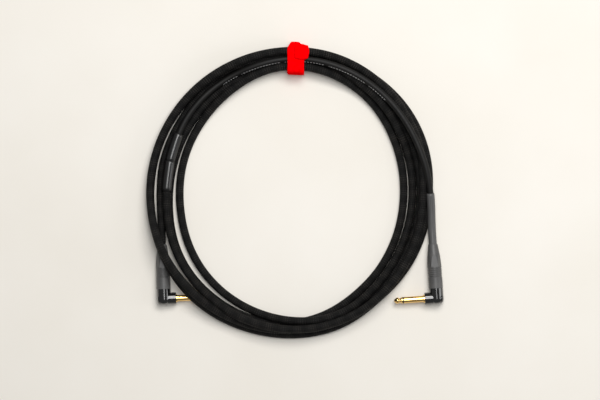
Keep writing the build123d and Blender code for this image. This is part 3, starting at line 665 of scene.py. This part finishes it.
def strap_wrap(name, low, high, material, width, shift, lean, pinch):
    """One turn of the strap round the bundle. Its outer end narrows by the share pinch,
    where it folds over, and lean sets it askew."""
    rows = 22
    mesh = bpy.data.meshes.new(name)
    bm = bmesh.new()
    rings = []
    reach = high[0] - low[0]
    for point, away in rounded_loop(low, high, STRAP_CORNER):
        share = (point.x - low[0]) / reach
        narrow = 1 - pinch * max(0.0, (share - FOLD_FROM) / (1 - FOLD_FROM)) ** 2
        ring = []
        for side in (1, 0):
            for k in range(rows):
                t = k / (rows - 1) if side else 1 - k / (rows - 1)
                across = (t - 0.5) * width * narrow + shift + lean * (share - 0.5)
                across += fuzz(point.x, point.y, 9 * t, 0.3 * MM, EDGE_FUZZ) * (2 * t - 1)
                edge = 1 - 0.45 * abs(2 * t - 1) ** 8
                lift = side * STRAP_LAYER * edge
                lift += side * fuzz(point.x, across, point.y, 0.22 * MM, PILE_FUZZ)
                ring.append(bm.verts.new(tie_place(
                    point.x + away.x * lift, across, point.y + away.y * lift)))
        rings.append(ring)
    for near, far in zip(rings, rings[1:] + rings[:1]):
        for k in range(2 * rows):
            n = (k + 1) % (2 * rows)
            bm.faces.new((near[k], near[n], far[n], far[k])).smooth = True
    bmesh.ops.recalc_face_normals(bm, faces=bm.faces)
    bm.to_mesh(mesh)
    bm.free()
    piece = add_piece(name, mesh, [material])
    return piece


def strap_end(name, low, high, material):
    """The free end of the strap: a round-cornered pad lying askew on the wraps, its
    overhanging edge curling up a little."""
    count = 26
    mesh = bpy.data.meshes.new(name)
    bm = bmesh.new()
    layers = []
    for level in (0, 1):
        grid = []
        for i in range(count):
            row = []
            for k in range(count):
                u, v = 2 * i / (count - 1) - 1, 2 * k / (count - 1) - 1
                # a square pressed into a rounded one, so that the corners are soft
                x = u * math.sqrt(1 - 0.3 * v * v)
                y = v * math.sqrt(1 - 0.3 * u * u)
                x = (low[0] + high[0]) / 2 + x * (high[0] - low[0]) / 2
                y = (low[1] + high[1]) / 2 + y * (high[1] - low[1]) / 2
                rim = max(abs(u), abs(v)) ** 10
                curl = 0.9 * MM * max(0.0, v) ** 2 + 0.5 * MM * max(0.0, u) ** 3
                z = low[2] + curl + level * (high[2] - low[2]) * (1 - 0.6 * rim)
                z += level * fuzz(x, y, 1, 0.3 * MM, PILE_FUZZ)
                x += fuzz(x, y, 4, 0.35 * MM, EDGE_FUZZ) * rim
                y += fuzz(x, y, 7, 0.35 * MM, EDGE_FUZZ) * rim
                row.append(bm.verts.new(tie_place(x, y, z)))
            grid.append(row)
        layers.append(grid)
    bottom, top = layers
    for i in range(count - 1):
        for k in range(count - 1):
            for grid in layers:
                bm.faces.new((grid[i][k], grid[i + 1][k], grid[i + 1][k + 1],
                              grid[i][k + 1])).smooth = True
    last = count - 1
    rim = [(i, 0) for i in range(last)] + [(last, k) for k in range(last)]
    rim += [(i, last) for i in range(last, 0, -1)] + [(0, k) for k in range(last, 0, -1)]
    for (i, k), (m, n) in zip(rim, rim[1:] + rim[:1]):
        bm.faces.new((bottom[i][k], bottom[m][n], top[m][n], top[i][k])).smooth = True
    bmesh.ops.recalc_face_normals(bm, faces=bm.faces)
    bm.to_mesh(mesh)
    bm.free()
    piece = add_piece(name, mesh, [material])
    return piece


def make_tie(strap):
    """Two wraps of the strap that don't quite line up, and its free end."""
    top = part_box("tie_strap")[1][2]
    tab_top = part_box("tie_tab")[1][2]
    layer = STRAP_LAYER
    strap_wrap("strap_under", (TIE_INNER + 1.8 * layer, 2 * layer),
               (TIE_OUTER - 2.2 * layer, top - 2 * layer), strap,
               width=16.2 * MM, shift=-0.2 * MM, lean=1.4 * MM, pinch=0.3)
    over = strap_wrap("strap_over", (TIE_INNER + 0.8 * layer, layer),
                      (TIE_OUTER - 0.4 * layer, top - layer), strap,
                      width=16.4 * MM, shift=-1.0 * MM, lean=-1.9 * MM, pinch=0.5)
    end = strap_end("strap_free_end", (132.5 * MM, -3.0 * MM, top - 0.2 * MM),
                    (147.8 * MM, 12.2 * MM, tab_top + 0.2 * MM), strap)
    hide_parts("tie_strap")
    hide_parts("tie_tab")


# ---------------------------------------------------------------- plugs
PLUG_SLOTS = {
    "elbow_housing": "elbow", "pin_sleeve": "gold", "pin_tip": "gold",
    "tip_ring": "ring", "inner_insulator": "ring", "tip_lug": "tin",
    "ground_lug": "tin", "chuck": "chuck", "boot": "boot", "core_wire": "core",
    "shield_pigtail": "copper", "solder_joints": "tin",
}


def finish_plugs(materials):
    """Gives the CAD pieces of both plugs their materials."""
    for plug in ("plug_a_", "plug_b_"):
        for node, key in PLUG_SLOTS.items():
            piece = bpy.data.objects[plug + node]
            for slot in piece.material_slots:
                slot.material = materials[key]


# ---------------------------------------------------------------- stage
def area_light(name, place, target, size, energy, colour=(1, 1, 1)):
    data = bpy.data.lights.new(name, "AREA")
    data.shape = "RECTANGLE"
    data.size, data.size_y = size
    data.energy = energy
    data.color = colour
    light = bpy.data.objects.new(name, data)
    light.location = place
    light.rotation_mode = "QUATERNION"
    light.rotation_quaternion = (Vector(target) - Vector(place)).to_track_quat("-Z", "Y")
    bpy.context.scene.collection.objects.link(light)


def make_stage():
    """The surface, three soft lights and a dim white world."""
    mesh = bpy.data.meshes.new("floor")
    bm = bmesh.new()
    bmesh.ops.create_grid(bm, x_segments=2, y_segments=2, size=4.0)
    bm.to_mesh(mesh)
    bm.free()
    mesh.materials.append(floor_material())
    floor = bpy.data.objects.new("floor", mesh)
    floor.location.z = -0.05 * MM       # clear of the faces that lie on the surface
    bpy.context.scene.collection.objects.link(floor)
    area_light("key", place=(0.35, 0.85, 1.5), target=(0, 0, 0), size=(1.1, 0.6),
               energy=19.0, colour=(1, 0.985, 0.96))
    area_light("overhead", place=(0.1, 0.25, 2.0), target=(0, 0, 0), size=(0.8, 0.8),
               energy=17.0)
    area_light("side", place=(1.6, -0.1, 0.7), target=(0.1, 0, 0), size=(0.4, 1.0),
               energy=4.0)
    world = bpy.data.worlds.new("studio")
    world.use_nodes = True
    world.node_tree.nodes["Background"].inputs["Color"].default_value = (1, 1, 1, 1)
    world.node_tree.nodes["Background"].inputs["Strength"].default_value = 0.22
    bpy.context.scene.world = world
    bpy.context.scene.view_settings.view_transform = "Standard"


def main():
    make_camera()
    braid, jacket = braid_material(), jacket_material()
    first, second = make_cables(braid, jacket)
    make_sleeves(first, second, shrink_material("heat_shrink", 0.072, 0.36, 0.0),
                 shrink_material("splice_shrink", 0.006, 0.26, 0.35))
    make_tie(strap_material())
    finish_plugs({
        "elbow": moulded_material("elbow_gloss", 0.006, 0.06, 900.0, 0.8),
        "gold": metal_material("gold_plate", (0.95, 0.62, 0.22), 0.12),
        "ring": moulded_material("ring_black", 0.01, 0.4, 1800.0),
        "tin": metal_material("tinned", (0.8, 0.8, 0.78), 0.3),
        "chuck": moulded_material("chuck_black", 0.03, 0.45, 2200.0),
        "boot": moulded_material("boot_grey", 0.072, 0.36, 2600.0),
        "core": moulded_material("core_white", 0.7, 0.45, 1500.0),
        "copper": metal_material("copper", (0.85, 0.45, 0.3), 0.35),
    })
    make_stage()


main()
